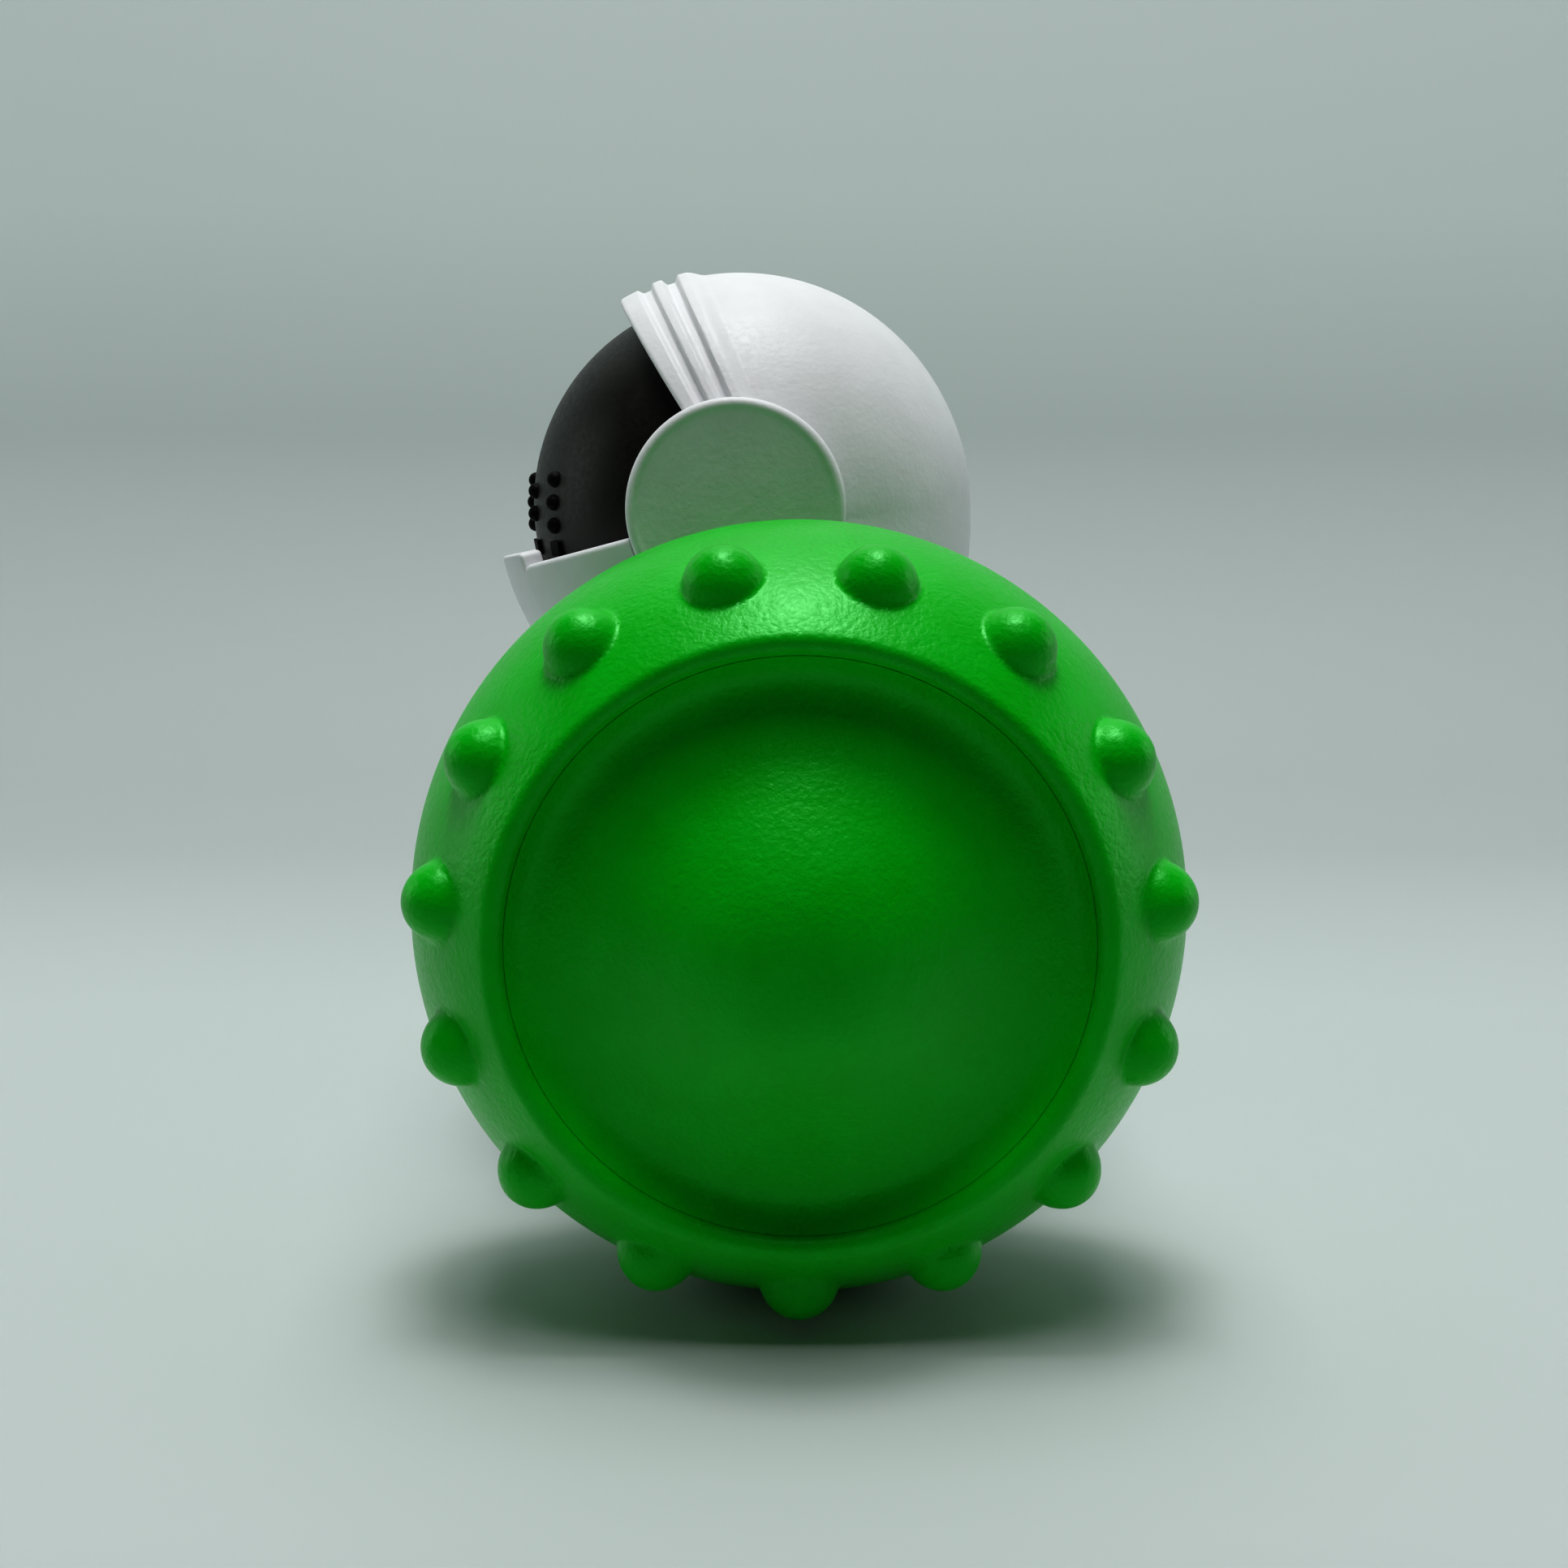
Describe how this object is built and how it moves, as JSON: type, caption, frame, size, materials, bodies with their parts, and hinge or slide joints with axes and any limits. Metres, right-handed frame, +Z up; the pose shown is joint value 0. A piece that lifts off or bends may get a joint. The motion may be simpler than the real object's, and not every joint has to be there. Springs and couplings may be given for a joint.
{
  "type": "two-wheeled toy robot",
  "caption": "Small two-wheeled toy robot: green knobbed ball wheels, a weighted pod, and a black ball head that turns under a white tilting helmet shell.",
  "frame": {"origin": "on the ground under the middle of the axle", "axes": "+Z up, the robot faces -X, its left side is -Y, the axle lies along Y"},
  "size_m": [0.04, 0.0756, 0.0546],
  "materials": {
    "wheel_green": "satin, moulded grain",
    "helmet_white": "satin, moulded grain",
    "pod_white": "satin, moulded grain",
    "face_black": "satin",
    "knob_black": "gloss",
    "nylon": "natural nylon",
    "pin_steel": "ground",
    "screw_steel": "zinc plated",
    "spring_steel": "blackened",
    "ballast_steel": "sawn bar"
  },
  "bodies": {
    "chassis": {"pod_left_shell": "pod_white", "pod_right_shell": "pod_white", "pod_screws": "screw_steel", "ballast_weight": "ballast_steel", "axle": "pin_steel", "left_axle_spacer": "nylon", "right_axle_spacer": "nylon", "left_axle_clip": "spring_steel", "right_axle_clip": "spring_steel", "neck_bush": "nylon"},
    "left_wheel": {"left_wheel_outer_shell": "wheel_green", "left_wheel_inner_shell": "wheel_green", "left_wheel_hub_dome": "wheel_green", "left_wheel_bush": "nylon", "left_wheel_screws": "screw_steel"},
    "right_wheel": {"right_wheel_outer_shell": "wheel_green", "right_wheel_inner_shell": "wheel_green", "right_wheel_hub_dome": "wheel_green", "right_wheel_bush": "nylon", "right_wheel_screws": "screw_steel"},
    "head": {"neck_post": "pod_white", "face_ball_front": "face_black", "head_ball_rear": "face_black", "head_screws": "screw_steel", "face_knobs": "knob_black", "face_pads": "knob_black", "chin_strap": "helmet_white", "chin_plate": "helmet_white", "left_ear_cap": "helmet_white", "right_ear_cap": "helmet_white", "left_ear_pin": "pin_steel", "right_ear_pin": "pin_steel"},
    "helmet": {"helmet_shell": "helmet_white"}
  },
  "joints": [
    {"name": "left_wheel_spin", "type": "hinge", "parent": "chassis", "child": "left_wheel", "pos_m": [0, -0.0232, 0.02], "axis": [0, 1, 0], "continuous": true},
    {"name": "right_wheel_spin", "type": "hinge", "parent": "chassis", "child": "right_wheel", "pos_m": [0, 0.0232, 0.02], "axis": [0, 1, 0], "continuous": true},
    {"name": "head_turn", "type": "hinge", "parent": "chassis", "child": "head", "pos_m": [-0.00342, 0, 0.025], "axis": [0, 0, 1], "range_deg": [-60, 60]},
    {"name": "helmet_tilt", "type": "hinge", "parent": "head", "child": "helmet", "pos_m": [-0.00342, 0, 0.04042], "axis": [0, -1, 0], "range_deg": [0, 45]}
  ]
}
